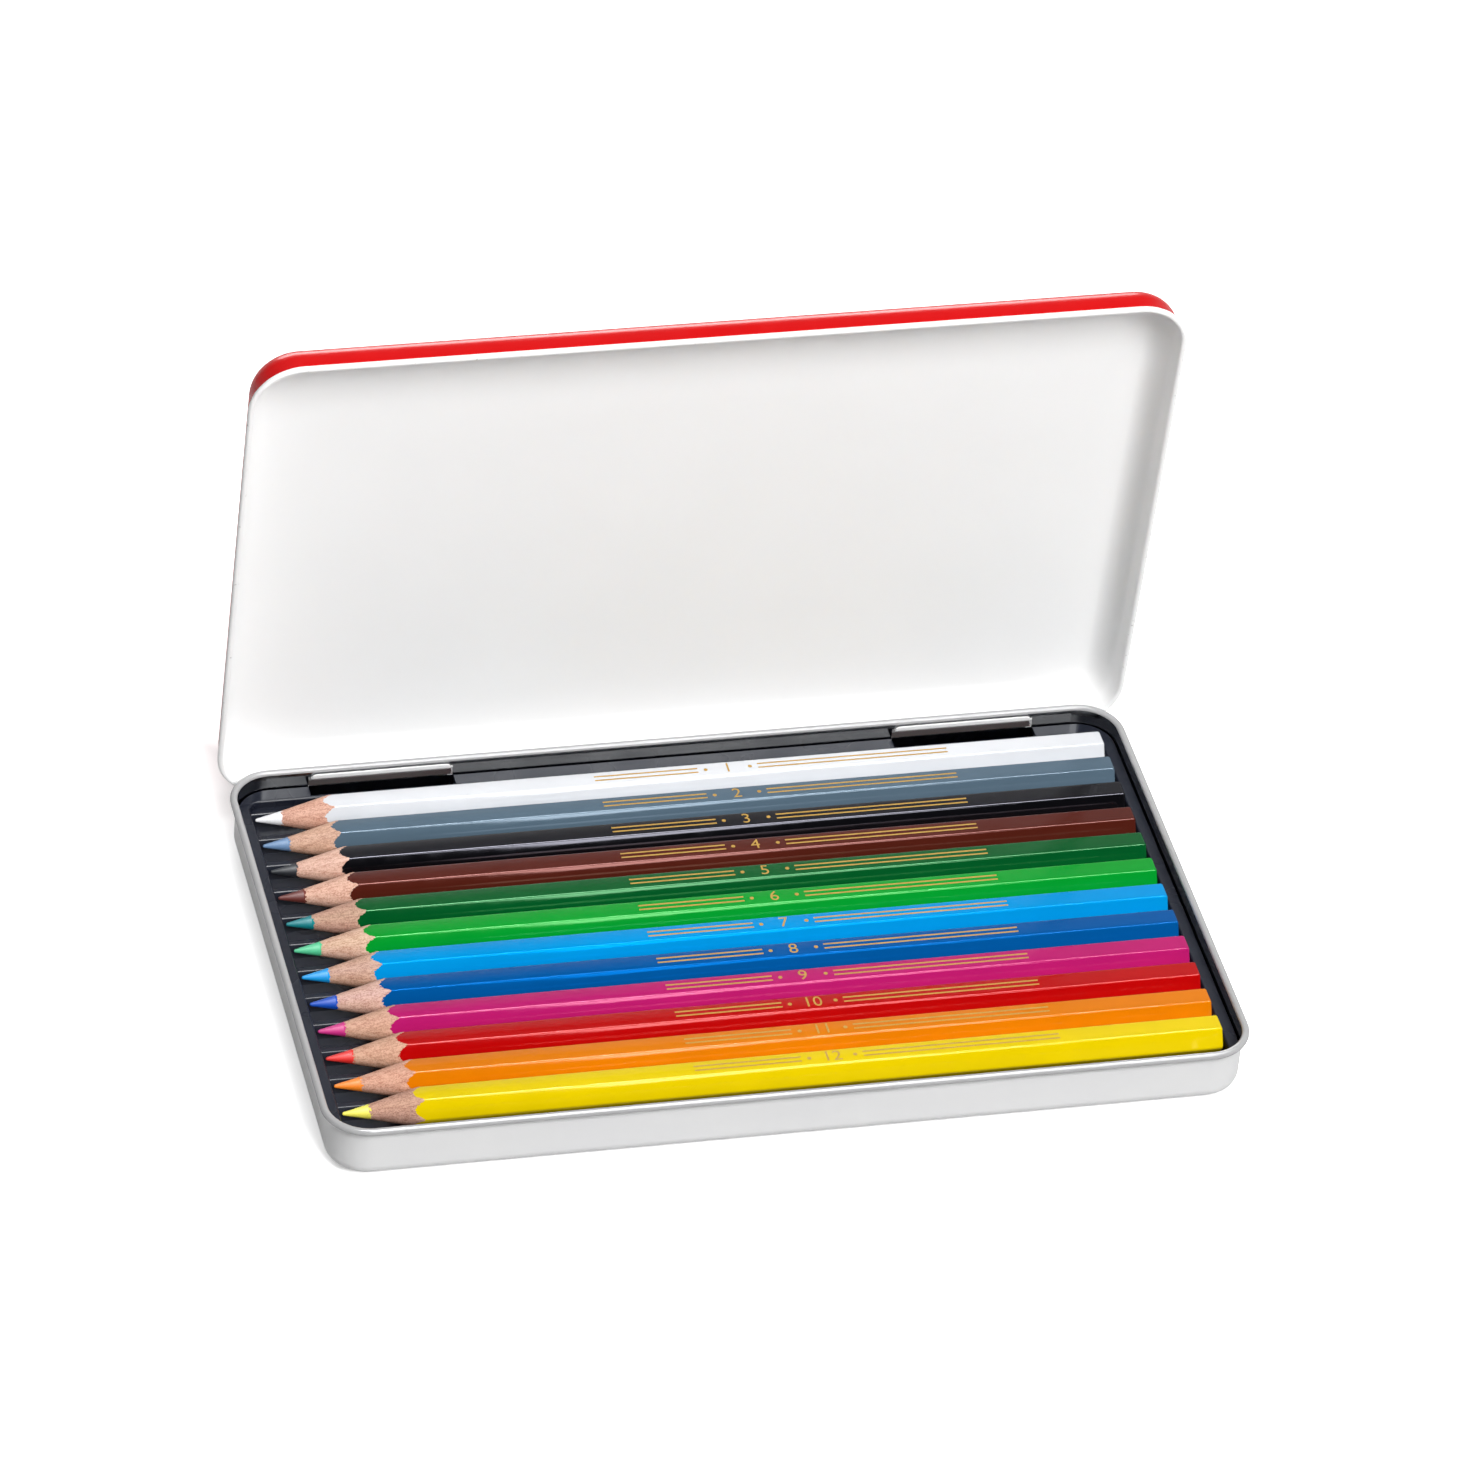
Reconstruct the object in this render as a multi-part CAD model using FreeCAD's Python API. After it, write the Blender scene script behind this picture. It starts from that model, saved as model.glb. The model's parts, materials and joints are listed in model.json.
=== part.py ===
import FreeCAD, Part
import math
import os
from FreeCAD import Vector

# Driving dimensions of the hinged tin, in millimetres and degrees; the pencils set its length and width
sheet = 0.3
tin_rim_height = 12.0
tin_corner_radius = 8.0
tin_floor_radius = 3.0
tin_curl_diameter = 1.5
curl_sweep = 290.0
bend_facet = 29.0

# Driving dimensions of the lid, which slips over the curled rim of the tin
lid_side_clearance = 0.2
lid_curl_diameter = 1.2
lid_depth = 8.7
lid_edge_radius = 5.0
lid_overlap = 3.7
lid_open_angle = 83.5

# Driving dimensions of the thumb rest pressed into the lid's front wall
thumb_length = 14.5
thumb_height = 2.4
thumb_depth = 0.12
thumb_above_rim = 1.3
thumb_end_share = 0.46

# Driving dimensions of the hinge: two lid tongues that hook through windows of the rear wall
hinge_from_corner = 8.8
hinge_strip = 1.0
tongue_width = 28.4
tongue_bend_radius = 0.45
tongue_clearance = 0.25
lip_height = 1.2
lip_corner_radius = 1.0
lip_clearance = 0.2
window_side_clearance = 0.6
window_lower_clearance = 0.4
pivot_behind_wall = 1.2
curl_relief = 0.8

# Driving dimensions of the pencils
pencil_names = ("white", "blue_grey", "black", "brown", "dark_green", "light_green",
                "light_blue", "dark_blue", "magenta", "red", "orange", "yellow")
pencil_length = 175.0
pencil_flats = 7.0
pencil_gap = 0.17
pencil_end_chamfer = 0.4
lead_diameter = 2.8
lead_tip_diameter = 0.7
blunted = 1.0
glue_line = 0.02
dip_thickness = 0.6
sharpened_half_angle = 14.0
pencil_facets = 20
pencil_top_above_rim = 0.0

# Driving dimensions of the moulded inlay
inlay_skin = 0.6
inlay_flange_drop = 3.2
inlay_wall_clearance = 0.3
inlay_side_flange = 1.5
inlay_end_flange = 2.6
bed_side_margin = 3.47
bed_end_margin = 0.8
inlay_corner_radius = 2.5
inlay_edge_chamfer = 0.3
inlay_skirt_clearance = 0.25
groove_clearance = 0.2
ridge_height = 2.4
pocket_clearance = 0.4
pocket_wall = 1.0

# Places worked out from the driving dimensions
pencil_side = pencil_flats / math.sqrt(3)
pencil_pitch = 2 * pencil_side + pencil_gap
pencil_axis_z = tin_rim_height + pencil_top_above_rim - pencil_flats / 2
pencil_tip_x = -pencil_length / 2
pencil_end_x = pencil_length / 2
cone_slope = math.tan(math.radians(sharpened_half_angle))
cone_apex_x = pencil_tip_x - blunted

bed_length = pencil_length / 2 + bed_end_margin
bed_width = (len(pencil_names) - 1) / 2 * pencil_pitch + pencil_side + bed_side_margin
inlay_length = bed_length + inlay_end_flange
inlay_width = bed_width + inlay_side_flange
flange_top = tin_rim_height - inlay_flange_drop

half_length = inlay_length + inlay_wall_clearance + sheet
half_width = inlay_width + inlay_wall_clearance + sheet
tin_curl_radius = tin_curl_diameter / 2
tin_curl_offset = tin_curl_radius - sheet
tin_curl_reach = tin_curl_offset + tin_curl_radius
lid_curl_radius = lid_curl_diameter / 2
lid_inner_offset = tin_curl_reach + lid_side_clearance
lid_outer_offset = lid_inner_offset + sheet
lid_half_length = half_length + lid_outer_offset
lid_half_width = half_width + lid_outer_offset
lid_rim_z = tin_rim_height - lid_overlap
pivot_y = half_width + pivot_behind_wall
pivot_z = lid_rim_z
hinge_middle = half_length - tin_corner_radius - hinge_from_corner - tongue_width / 2
hinge_places = (-hinge_middle, hinge_middle)

UP = Vector(0, 0, 1)
ALONG = Vector(1, 0, 0)
ACROSS = Vector(0, 1, 0)
TOUCH = 1e-6


def pencil_place(number):
    """Distance of a pencil's axis from the middle of the tin, the rear pencil first."""
    return ((len(pencil_names) - 1) / 2 - number) * pencil_pitch


def cosine(angle):
    return math.cos(math.radians(angle))


def sine(angle):
    return math.sin(math.radians(angle))


def beside(point, heading, distance):
    """Point to the left of a heading in the plane of Y outwards and Z up."""
    return point + Vector(0, -sine(heading), cosine(heading)) * distance


def polygon_face(points):
    return Part.Face(Part.makePolygon(list(points) + [points[0]]))


def box_between(low, high):
    return Part.makeBox(high.x - low.x, high.y - low.y, high.z - low.z, low)


def runs_along(edge, direction):
    return edge.tangentAt(edge.FirstParameter).cross(direction).Length < TOUCH


def rounded_block(half_x, half_y, radius, low, high):
    """Upright block with rounded corners in plan."""
    block = box_between(Vector(-half_x, -half_y, low), Vector(half_x, half_y, high))
    corners = [edge for edge in block.Edges if runs_along(edge, UP)]
    return block.makeFillet(radius, corners)


def sheet_section(start, heading, steps):
    """Face of a bent sheet, walked along its middle in the plane of Y outwards and Z up.

    A step of one number is a straight run; a step of two is a bend: radius at the middle
    of the sheet, and the angle turned, to the left if positive. Bends are made in short facets.
    """
    half = sheet / 2
    place = Vector(0, start[0], start[1])
    angle = heading
    left = [beside(place, angle, half)]
    right = [beside(place, angle, -half)]
    for step in steps:
        if len(step) == 1:
            place = place + Vector(0, cosine(angle), sine(angle)) * step[0]
            left.append(beside(place, angle, half))
            right.append(beside(place, angle, -half))
            continue
        radius, turn = step
        to_centre = math.copysign(radius, turn)
        centre = beside(place, angle, to_centre)
        facets = math.ceil(abs(turn) / bend_facet)
        for _ in range(facets):
            angle += turn / facets
            place = beside(centre, angle, -to_centre)
            left.append(beside(place, angle, half))
            right.append(beside(place, angle, -half))
    return polygon_face(left + right[::-1])


def rim_ring(section, half_x, half_y, radius):
    """Carry a section, drawn outwards from the wall's outer face, round a rounded rectangle."""
    pieces = []
    for half_run, half_across, turn in ((half_x, half_y, 0), (half_y, half_x, 90)):
        straight = half_run - radius
        for extra in (0, 180):
            run = section.copy()
            run.translate(Vector(-straight, half_across, 0))
            run = run.extrude(Vector(2 * straight, 0, 0))
            run.rotate(Vector(), UP, turn + extra)
            pieces.append(run)
    corner = section.copy()
    corner.translate(Vector(0, radius, 0))
    corner = corner.revolve(Vector(), UP, -90)
    for sign_x, sign_y, turn in ((1, 1, 0), (1, -1, -90), (-1, -1, 180), (-1, 1, 90)):
        piece = corner.copy()
        piece.rotate(Vector(), UP, turn)
        piece.translate(Vector(sign_x * (half_x - radius), sign_y * (half_y - radius), 0))
        pieces.append(piece)
    return pieces


def fused(pieces):
    return pieces[0].multiFuse(pieces[1:]).removeSplitter()


def hinge_window():
    """Height range of the windows: from below the closed tongue up to the strip that it hooks round."""
    closed_tongue = lid_rim_z + tongue_rise()
    low = closed_tongue - sheet / 2 - window_lower_clearance
    return low, tin_rim_height - hinge_strip


def make_base_tray():
    """Pressed tin tray: flat floor, rounded bottom edge, straight wall and curled rim."""
    bend = tin_floor_radius - sheet / 2
    wall = tin_rim_height - tin_floor_radius
    curl = tin_curl_radius - sheet / 2
    section = sheet_section((-tin_floor_radius, sheet / 2), 0,
                            [(bend, 90), (wall,), (curl, -curl_sweep)])
    pieces = rim_ring(section, half_length, half_width, tin_corner_radius)
    floor = rounded_block(half_length - tin_floor_radius, half_width - tin_floor_radius,
                          tin_corner_radius - tin_floor_radius, 0, sheet)
    tray = fused(pieces + [floor])
    window_low, window_high = hinge_window()
    half_window = tongue_width / 2 + window_side_clearance
    windows = [box_between(Vector(place - half_window, half_width - 2 * sheet, window_low),
                           Vector(place + half_window, half_width + sheet, window_high))
               for place in hinge_places]
    return tray.cut(windows)


def tongue_rise():
    """Height of the closed tongue's inward run above the axis.

    Turned open, that run stands behind the curl of the tin's rim and just clears it.
    """
    clear_of_curl = tin_curl_reach + tongue_clearance + sheet / 2 - pivot_behind_wall
    return clear_of_curl * sine(lid_open_angle) + lid_overlap * cosine(lid_open_angle)


def tongue_inset():
    """Distance from the axis forward to the closed tongue's hanging run.

    Turned open, that run passes through the window just under the strip of wall that it hooks round.
    """
    under_strip = tin_rim_height - hinge_strip - tongue_clearance - sheet / 2 - pivot_z
    strip_from_axis = -pivot_behind_wall - sheet / 2
    return under_strip * sine(lid_open_angle) - strip_from_axis * cosine(lid_open_angle)


def tongue_drop():
    """Distance from the axis down to the closed tongue's lip, which turned open stands inside the strip."""
    lip_from_axis = -pivot_behind_wall - sheet - lip_clearance - sheet / 2
    return -(lip_from_axis + tongue_inset() * cosine(lid_open_angle)) / sine(lid_open_angle)


def tongue_sweep():
    """How far in front of the axis the lip comes while the lid turns."""
    return math.hypot(tongue_inset() + lip_height, tongue_drop() + sheet / 2)


def make_lid():
    """Pressed lid with a curled rim and two hinge tongues, made closed and turned open."""
    bend = lid_edge_radius - sheet / 2
    wall = lid_depth - lid_edge_radius
    curl = lid_curl_radius - sheet / 2
    top = lid_rim_z + lid_depth
    section = sheet_section((-lid_edge_radius, top - sheet / 2), 0,
                            [(bend, -90), (wall,), (curl, curl_sweep)])
    corner = tin_corner_radius + lid_outer_offset
    pieces = rim_ring(section, lid_half_length, lid_half_width, corner)
    plate = rounded_block(lid_half_length - lid_edge_radius, lid_half_width - lid_edge_radius,
                          corner - lid_edge_radius, top - sheet, top)
    lid = with_tongues(fused(pieces + [plate]).cut(thumb_rest()))
    lid.rotate(Vector(0, pivot_y, pivot_z), ALONG, -lid_open_angle)
    return lid


def thumb_rest():
    """Shallow long rest in the lid's front wall, its round ends a share of its height."""
    low = lid_rim_z + thumb_above_rim
    block = box_between(Vector(-thumb_length / 2, -lid_half_width - thumb_height, low),
                        Vector(thumb_length / 2, -lid_half_width + thumb_depth, low + thumb_height))
    ends = [edge for edge in block.Edges if runs_along(edge, ACROSS)]
    return block.makeFillet(thumb_end_share * thumb_height, ends)


def make_tongue():
    """Tongue of the lid's sheet: it turns in from the wall, hangs down and ends in a forward lip."""
    wall_middle = lid_half_width - sheet / 2
    bend = tongue_bend_radius
    inward = wall_middle - (pivot_y - tongue_inset()) - 2 * bend
    hanging = tongue_rise() + tongue_drop() - 2 * bend
    section = sheet_section((wall_middle, tongue_wall_end() + bend), -90,
                            [(bend,), (bend, -90), (inward,), (bend, 90), (hanging,), (bend, -90),
                             (lip_height - bend,)])
    section.translate(Vector(-tongue_width / 2, 0, 0))
    tongue = section.extrude(ALONG * tongue_width)
    lip_end = tongue.BoundBox.YMin
    corners = [edge for edge in tongue.Edges
               if runs_along(edge, UP) and abs(edge.BoundBox.YMin - lip_end) < TOUCH]
    return tongue.makeFillet(lip_corner_radius, corners)


def tongue_wall_end():
    """Height at which the closed lid's wall ends and its tongues turn in."""
    return lid_rim_z + tongue_rise() + tongue_bend_radius


def with_tongues(shell):
    """Cut the curl away at the two hinge places and turn the wall inwards there instead."""
    half_gap = tongue_width / 2 + curl_relief
    lowest = lid_rim_z - lid_curl_diameter
    for place in hinge_places:
        gap = box_between(Vector(place - half_gap, lid_half_width - 2 * sheet, lowest),
                          Vector(place + half_gap, lid_half_width + 2 * lid_curl_diameter, tongue_wall_end()))
        tongue = make_tongue()
        tongue.translate(ALONG * place)
        shell = shell.cut(gap).fuse(tongue)
    return shell.removeSplitter()


def groove_line(drop):
    """Points across the inlay's bed: one half-hexagon groove per pencil, and flat ridges."""
    groove_flats = pencil_flats + 2 * groove_clearance
    bottom_z = pencil_axis_z - groove_flats / 2
    bottom_half = groove_flats / math.sqrt(3) / 2
    top_half = bottom_half + ridge_height / math.tan(math.radians(60))
    points = []
    for number in reversed(range(len(pencil_names))):
        middle = pencil_place(number)
        points.append((middle - top_half, bottom_z + ridge_height - drop))
        points.append((middle - bottom_half, bottom_z - drop))
        points.append((middle + bottom_half, bottom_z - drop))
        points.append((middle + top_half, bottom_z + ridge_height - drop))
    return points


def bed_prism(drop, level):
    """Prism between the groove line and a level above or below it."""
    line = groove_line(drop)
    line = [(-bed_width, line[0][1])] + line + [(bed_width, line[-1][1])]
    outline = line + [(bed_width, level), (-bed_width, level)]
    face = polygon_face([Vector(-bed_length, y, z) for y, z in outline])
    return face.extrude(ALONG * (2 * bed_length))


def pocket_front():
    """Front of the room in the inlay's rear edge where the tongues turn."""
    return pivot_y - tongue_sweep() - pocket_clearance


def tongue_pockets(low, high):
    """Room in the inlay's rear edge for the tongues to turn in."""
    half_pocket = tongue_width / 2 + window_side_clearance
    return [box_between(Vector(place - half_pocket, pocket_front(), low),
                        Vector(place + half_pocket, half_width, high))
            for place in hinge_places]


def bed_room(low, high):
    """Room of the bed in plan: rounded corners, and its rear edge in front of the tongue pockets."""
    rear = pocket_front() - pocket_wall
    room = rounded_block(bed_length, (bed_width + rear) / 2, inlay_corner_radius, low, high)
    room.translate(ACROSS * ((rear - bed_width) / 2))
    return room


def make_inlay_tray():
    """Moulded inlay: a flange, a recessed bed of twelve grooves and a skirt to stand on."""
    skirt_low = skirt_height(bed_width + inlay_skin)
    above = tin_rim_height
    below = 0.0
    inlay_outer_radius = tin_corner_radius - sheet - inlay_wall_clearance
    flange = rounded_block(inlay_length, inlay_width, inlay_outer_radius, flange_top - inlay_skin, flange_top)
    tub = rounded_block(bed_length + inlay_skin, bed_width + inlay_skin,
                        inlay_corner_radius + inlay_skin, skirt_low, flange_top)
    body = flange.fuse(tub).cut(tongue_pockets(below, above))
    room = bed_room(below, above)
    recess = room.common(bed_prism(0, above))
    hollow = room.common(bed_prism(inlay_skin, below))
    return with_soft_edge(body.cut(recess).cut(hollow).removeSplitter())


def skirt_height(skirt_reach):
    """Height at which the skirt meets the rounded bottom edge of the tin."""
    inner_radius = tin_floor_radius - sheet
    bend_centre = half_width - tin_floor_radius
    sideways = max(0.0, skirt_reach - bend_centre)
    return tin_floor_radius - math.sqrt(inner_radius ** 2 - sideways ** 2) + inlay_skirt_clearance


def with_soft_edge(tray):
    """Ease the edge where the flange turns down into the bed."""
    edges = []
    for edge in tray.Edges:
        box = edge.BoundBox
        level = max(abs(box.ZMin - flange_top), abs(box.ZMax - flange_top)) < TOUCH
        inside_x = max(box.XMax, -box.XMin) < bed_length + TOUCH
        inside_y = max(box.YMax, -box.YMin) < bed_width + TOUCH
        if level and inside_x and inside_y:
            edges.append(edge)
    return tray.makeChamfer(inlay_edge_chamfer, edges)


def hexagon_bar(start, end):
    """Six-sided bar along X, lying on a flat."""
    corners = [Vector(start, pencil_side * cosine(60 * k), pencil_side * sine(60 * k)) for k in range(6)]
    return polygon_face(corners).extrude(ALONG * (end - start))


def round_bar(stations):
    """Bar along X through rings of a given radius; it repeats often, so it is cut in facets."""
    angles = [360 * k / pencil_facets for k in range(pencil_facets)]
    rings = []
    for x, radius in stations:
        corners = [Vector(x, radius * cosine(angle), radius * sine(angle)) for angle in angles]
        rings.append(Part.makePolygon(corners + corners[:1]))
    return Part.makeLoft(rings, True, True)


def sharpened_bar(radius, tip_radius, end):
    """Round bar with a blunt tip and the sharpener's cone."""
    shoulder = cone_apex_x + radius / cone_slope
    return round_bar([(pencil_tip_x, tip_radius), (shoulder, radius), (end, radius)])


def make_casing():
    """Lacquered wooden casing, sharpened at one end and dipped at the other."""
    bar = hexagon_bar(pencil_tip_x, pencil_end_x)
    end_face = max(bar.Faces, key=lambda face: face.CenterOfMass.x)
    bar = bar.makeChamfer(pencil_end_chamfer, end_face.Edges)
    casing = bar.common(sharpened_bar(pencil_flats, blunted * cone_slope, pencil_end_x))
    bore_radius = lead_diameter / 2 + glue_line
    return casing.cut(round_bar([(pencil_tip_x, bore_radius), (pencil_end_x - dip_thickness, bore_radius)]))


def make_lead():
    """Coloured core with its sharpened, slightly blunted tip."""
    return sharpened_bar(lead_diameter / 2, lead_tip_diameter / 2, pencil_end_x - dip_thickness - glue_line)


def save(shape, node):
    if not shape.isValid():
        raise ValueError(node + " is not a valid solid")
    shape.exportStep("parts/" + node + ".step")


def main():
    os.makedirs("parts", exist_ok=True)
    save(make_base_tray(), "base_tray")
    save(make_inlay_tray(), "inlay_tray")
    save(make_lid(), "lid")
    casing = make_casing()
    lead = make_lead()
    for number, name in enumerate(pencil_names):
        for shape, piece in ((casing, "casing"), (lead, "lead")):
            placed = shape.copy()
            placed.translate(Vector(0, pencil_place(number), pencil_axis_z))
            save(placed, "pencil_" + name + "_" + piece)


main()
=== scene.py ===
import json
import math

import bmesh
import bpy
from mathutils import Matrix, Vector


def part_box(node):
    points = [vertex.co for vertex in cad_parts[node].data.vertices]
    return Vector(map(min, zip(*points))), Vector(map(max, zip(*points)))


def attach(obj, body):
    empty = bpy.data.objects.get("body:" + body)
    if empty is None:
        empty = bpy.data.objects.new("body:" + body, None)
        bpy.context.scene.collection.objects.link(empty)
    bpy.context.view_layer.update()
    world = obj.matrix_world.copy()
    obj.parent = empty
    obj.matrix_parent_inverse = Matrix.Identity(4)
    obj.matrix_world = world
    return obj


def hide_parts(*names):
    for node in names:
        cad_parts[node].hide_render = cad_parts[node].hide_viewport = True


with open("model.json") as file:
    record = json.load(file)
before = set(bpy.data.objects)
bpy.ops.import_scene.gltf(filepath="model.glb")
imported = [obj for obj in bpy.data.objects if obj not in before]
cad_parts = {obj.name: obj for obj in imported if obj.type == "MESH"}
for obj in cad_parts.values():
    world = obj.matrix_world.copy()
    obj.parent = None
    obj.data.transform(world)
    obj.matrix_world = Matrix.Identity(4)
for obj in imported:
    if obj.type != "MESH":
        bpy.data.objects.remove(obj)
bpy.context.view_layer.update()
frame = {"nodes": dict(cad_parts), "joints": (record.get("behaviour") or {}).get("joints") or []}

MM = 0.001

# Curve from written colours to the shader's
FULL_TONE = 255
CURVE_FOOT = 0.04045
CURVE_FOOT_SLOPE = 12.92
CURVE_OFFSET = 0.055
CURVE_POWER = 2.4

# Power that takes a square root
SQUARE_ROOT = 0.5

# Distances under which points are taken as one
CUT_NEAR = 0.0001 * MM
MERGE_NEAR = 0.001 * MM
WALL_NEAR = 0.01 * MM

# Angles up to which neighbouring faces are shaded as one surface, in degrees
SHEET_SMOOTH = 40
MOULDING_SMOOTH = 30
CASING_SMOOTH = 25

# Pressed tin sheet, as in the solids
SHEET = 0.3 * MM
TRAY_CORNER = 8.0 * MM
TRAY_RIM_Z = 12.0 * MM
TRAY_CURL = 0.75 * MM
TRAY_FLOOR_BEND = 3.0 * MM
CURL_SWEEP = math.radians(290)
LID_CURL = 0.6 * MM
LID_DEPTH = 8.7 * MM
LID_EDGE_BEND = 5.0 * MM
LID_REACH = 1.7 * MM
ROLLED_EDGE = "rolled_edge"
CORNER_STEPS = 14
BEND_STEPS = 10
CURL_STEPS = 18

# Places of the finishes that follow the outside one on the tray and the lid
TRAY_INSIDE = 1
TRAY_BEAD = 2
LID_INSIDE = 1
LID_BARE = 2

# Hinge tongues of the lid and the windows in the tray's rear wall that they turn in
HINGE_MIDDLE = 60.5 * MM
TONGUE_HALF = 14.2 * MM
TONGUE_GAP_HALF = 15.0 * MM
WINDOW_HALF = 14.8 * MM
WINDOW_LOW = 8.57 * MM
WINDOW_HIGH = 11.0 * MM
TONGUE_RISE = 0.816 * MM
TONGUE_INSET = 2.438 * MM
TONGUE_DROP = 1.584 * MM
TONGUE_BEND = 0.45 * MM
TONGUE_BEND_STEPS = 5
LIP_HEIGHT = 1.2 * MM
LIP_ROUND = 1.0 * MM
LIP_ROUND_STEPS = 6

# Moulded inlay: the faces shaded flat, its soft edges, and the slope of a face that looks down
INLAY_FLAT_AREA = 4 * MM * MM
INLAY_SOFT_EDGE = 0.15 * MM
INLAY_SOFT_STEPS = 3
INLAY_FLAT_ANGLE = math.radians(2)
INLAY_SHARP_ANGLE = math.radians(25)
INLAY_UNDERSIDE = -0.5

# Thumb rest pressed into the lid's front wall
THUMB_HALF = 7.25 * MM
THUMB_LOW = 1.3 * MM
THUMB_HIGH = 3.7 * MM
THUMB_DEPTH = 0.12 * MM
THUMB_SLOPE = 0.3 * MM
THUMB_ROUND = 0.8 * MM
THUMB_ROUND_STEPS = 5

# Pencils
PENCIL_FACES = 6
PENCIL_FLATS = 7.0 * MM
PENCIL_SIDE = PENCIL_FLATS / math.sqrt(3)
PENCIL_EDGE_ROUND = 0.32 * MM
PENCIL_EDGE_STEPS = 4
PENCIL_FLAT_CUTS = 9
PENCIL_END_ROUND = 0.45 * MM
PENCIL_END_STEPS = 4
CORE_RADIUS = 1.4 * MM
CORE_NOSE = 0.36 * MM
CORE_NOSE_STEPS = 6
CUT_SLOPE = math.tan(math.radians(14))
CUT_BLUNTED = 1.0 * MM
CUT_RINGS = 6
CORE_STEPS = 48

# Foil stamped on the top face of each pencil
FOIL_START = -18.6 * MM
FOIL_END = 54.8 * MM
FOIL_LIFT = 0.012 * MM
RULE_WIDTH = 0.4 * MM
RULE_GAP = 1.2 * MM
NUMBER_HEIGHT = 2.8 * MM
NUMBER_SHARE_OF_FONT = 0.7
NUMBER_CURVE_STEPS = 4
NUMBER_PLACE = 9.0 * MM
NUMBER_ROOM = 4.6 * MM
DOT_RADIUS = 0.42 * MM
DOT_STEPS = 16
DOT_SPACE = 1.6 * MM

# Parts of the noise between which a pattern fades in
EVEN_SPAN = (0.3, 0.7)
HANDLED_SPAN = (0.35, 0.7)
RUBBED_SPAN = (0.35, 0.75)
CHIP_SPAN = (0.66, 0.72)
RAGGED_SPAN = (0.32, 0.7)
FIBRE_SPAN = (0.34, 0.72)
GRIT_SPAN = (0.33, 0.68)
SMUDGE_SPAN = (0.38, 0.7)

# Lacquers of the tin, each with the shade that it clouds into
TRAY_WHITE = (223, 223, 223)
TRAY_SHADE = (220, 220, 221)
TRAY_ROUGHNESS = 0.28
TRAY_SHINE = 0.4
# Painted shade: the bead's lacquer is a darkened copy of the tray's white, so the rolled bead looks greyer
# than the wall
BEAD_SHADED_WHITE = (170, 170, 171)
BEAD_SHADED_CLOUD = (164, 164, 165)
BEAD_ROUGHNESS = 0.22
BEAD_SHINE = 0.5
LID_WHITE = (250, 250, 250)
LID_SHADE = (248, 248, 248)
LID_ROUGHNESS = 0.4
LID_SHINE = 0.12
RED_LACQUER = (204, 4, 7)
RED_SHADE = (197, 3, 6)
RED_ROUGHNESS = 0.24
RED_SHINE = 0.2
CHIPPED_TIN = (150, 148, 145)
CHIP_SIZE = 0.7 * MM
CHIP_STRENGTH = 0.5
CHIP_DEPTH = 0.01 * MM
TIN_OWN_SHINE = 0.85
TIN_CLOUD_SIZE = 18 * MM
TIN_HANDLING_SIZE = 6 * MM
TIN_HANDLING_DULLS = 0.03
TIN_PEEL_SIZE = 1.4 * MM
TIN_PEEL_DEPTH = 0.0006 * MM

# Bare tinplate inside the tray and on the lid's tongues
TINPLATE_DARK = (146, 148, 150)
TINPLATE_LIGHT = (164, 165, 166)
TINPLATE_ROUGHNESS = (0.09, 0.15)
TINPLATE_LINE_SIZE = 0.4 * MM
TINPLATE_LINE_STRETCH = (0.04, 0.04, 1)
TINPLATE_LINE_DEPTH = 0.004 * MM
TINPLATE_DULL_SIZE = 5 * MM

# Plastic of the inlay
PLASTIC_DARK = (24, 27, 38)
PLASTIC_RUBBED = (29, 33, 44)
PLASTIC_ROUGHNESS = (0.24, 0.36)
PLASTIC_SHINE = 0.22
PLASTIC_RUBBED_SIZE = 14 * MM
PLASTIC_GRAIN_SIZE = 0.25 * MM
PLASTIC_GRAIN_DEPTH = 0.006 * MM

# Lacquer coats of the pencils
LACQUER_IOR = 1.37
LACQUER_OWN_SHINE = {"light_blue": 1.0, "dark_blue": 1.0}
LACQUER_USUAL_SHINE = 0.6
LACQUER_ROUGHNESS = (0.08, 0.14)
LACQUER_HANDLING_SIZE = 4 * MM
LACQUER_CLOUD_SIZE = 12 * MM
LACQUER_CLOUD_TONE = (0.94, 1.0)
LACQUER_WAVE_SIZE = 1.5 * MM
LACQUER_WAVE_DEPTH = 0.004 * MM
LACQUER_EDGE = 0.012 * MM
RAGGED_SIZE = 0.45 * MM
RAGGED_REACH = (0.004 * MM, 0.15 * MM)

# Bare wood where the sharpener has cut, and the cores
WOOD_ROUGHNESS = 0.62
FIBRE_SIZE = 0.4 * MM
FIBRE_STRETCH = (0.1, 1, 1)
FIBRE_SHARE = 0.8
FIBRE_DEPTH = 0.05 * MM
GRIT_SIZE = 0.2 * MM
GRIT_STRETCH = (0.6, 1, 1)
GRIT_SHARE = 0.5
SMUDGE_SIZE = 0.5 * MM
SMUDGE_REACH = 0.16 * MM
SMUDGE_EDGE = 0.02 * MM
CORE_GRAIN_SIZE = 0.2 * MM
CORE_GRAIN_TONE = (0.86, 1.0)
CORE_TURNING_SIZE = 0.14 * MM
CORE_TURNING_STRETCH = (1, 0.15, 0.15)
CORE_TURNING_DEPTH = 0.02 * MM
CORE_ROUGHNESS = (0.42, 0.58)

# Gold foil
FOIL_BRIGHT = (214, 176, 96)
FOIL_BROKEN = (190, 148, 72)
FOIL_ROUGHNESS = (0.26, 0.42)
FOIL_BROKEN_SIZE = 0.3 * MM
FOIL_BROKEN_DEPTH = 0.004 * MM

# Cedar of the casings: face of the grain and its dark lines
CEDAR = {
    "red": ((216, 170, 148), (170, 114, 94)),
    "pink": ((222, 184, 164), (180, 130, 110)),
    "straw": ((211, 171, 146), (166, 120, 96)),
    "brown": ((200, 157, 140), (152, 106, 92)),
}

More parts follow.
